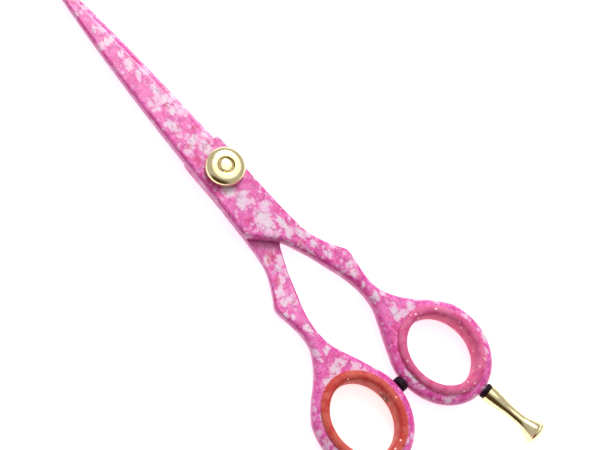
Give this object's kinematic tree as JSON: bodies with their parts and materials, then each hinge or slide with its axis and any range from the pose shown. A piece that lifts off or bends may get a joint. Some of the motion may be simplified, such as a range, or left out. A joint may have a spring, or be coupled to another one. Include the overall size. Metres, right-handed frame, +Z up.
{
  "type": "hair cutting shears",
  "caption": "Closed hair cutting shears with straight blades, leaning oval finger rings with soft inserts, a tension dial at the pivot and a screw-in finger rest.",
  "frame": {"origin": "on the pivot axis, in the plane that the shears rest on, which is the flat end of the pivot bolt's head", "axes": "+Y along the closed blades towards the tips, +Z up on the dial side, +X towards the finger ring"},
  "size_m": [0.05, 0.1703, 0.0096],
  "materials": {
    "pink_paint": "gloss, marbled in pale and deep pink",
    "finger_silicone": "clear crimson with glitter",
    "thumb_silicone": "clear orange-red with glitter",
    "pale_gold": "polished pale gold plating",
    "spring_steel": "satin",
    "white_nylon": "matte",
    "black_rubber": "matte"
  },
  "bodies": {
    "finger_side": {"finger_half": "pink_paint", "finger_ring_insert": "finger_silicone", "pivot_bolt": "pale_gold", "click_plate": "spring_steel", "wave_spring": "spring_steel"},
    "thumb_side": {"thumb_half": "pink_paint", "thumb_ring_insert": "thumb_silicone", "pivot_bushing": "white_nylon", "head_washer": "white_nylon", "glide_washer": "white_nylon", "bumper": "black_rubber"},
    "dial": {"tension_dial": "pale_gold"},
    "rest_ring": {"rest_washer": "black_rubber"},
    "rest": {"finger_rest": "pale_gold", "rest_stud": "spring_steel"}
  },
  "joints": [
    {"name": "blade_pivot", "type": "hinge", "parent": "finger_side", "child": "thumb_side", "pos_m": [0, 0, 0.0036], "axis": [0, 0, -1], "range_deg": [0, 90]},
    {"name": "tension_dial_turn", "type": "hinge", "parent": "finger_side", "child": "dial", "pos_m": [0, 0, 0.0082], "axis": [0, 0, 1], "range_deg": [-180, 180]},
    {"name": "finger_rest_turn", "type": "hinge", "parent": "finger_side", "child": "rest_ring", "pos_m": [0.0148, -0.08197, 0.0036], "axis": [0.1736, -0.9848, 0], "range_deg": [0, 1800]},
    {"name": "finger_rest_travel", "type": "slide", "parent": "rest_ring", "child": "rest", "axis": [0.1736, -0.9848, 0], "range_m": [0, 0.00225]}
  ],
  "couplings": [
    {"joint": "finger_rest_turn", "follows": "finger_rest_travel", "rad_per_m": 13963}
  ]
}
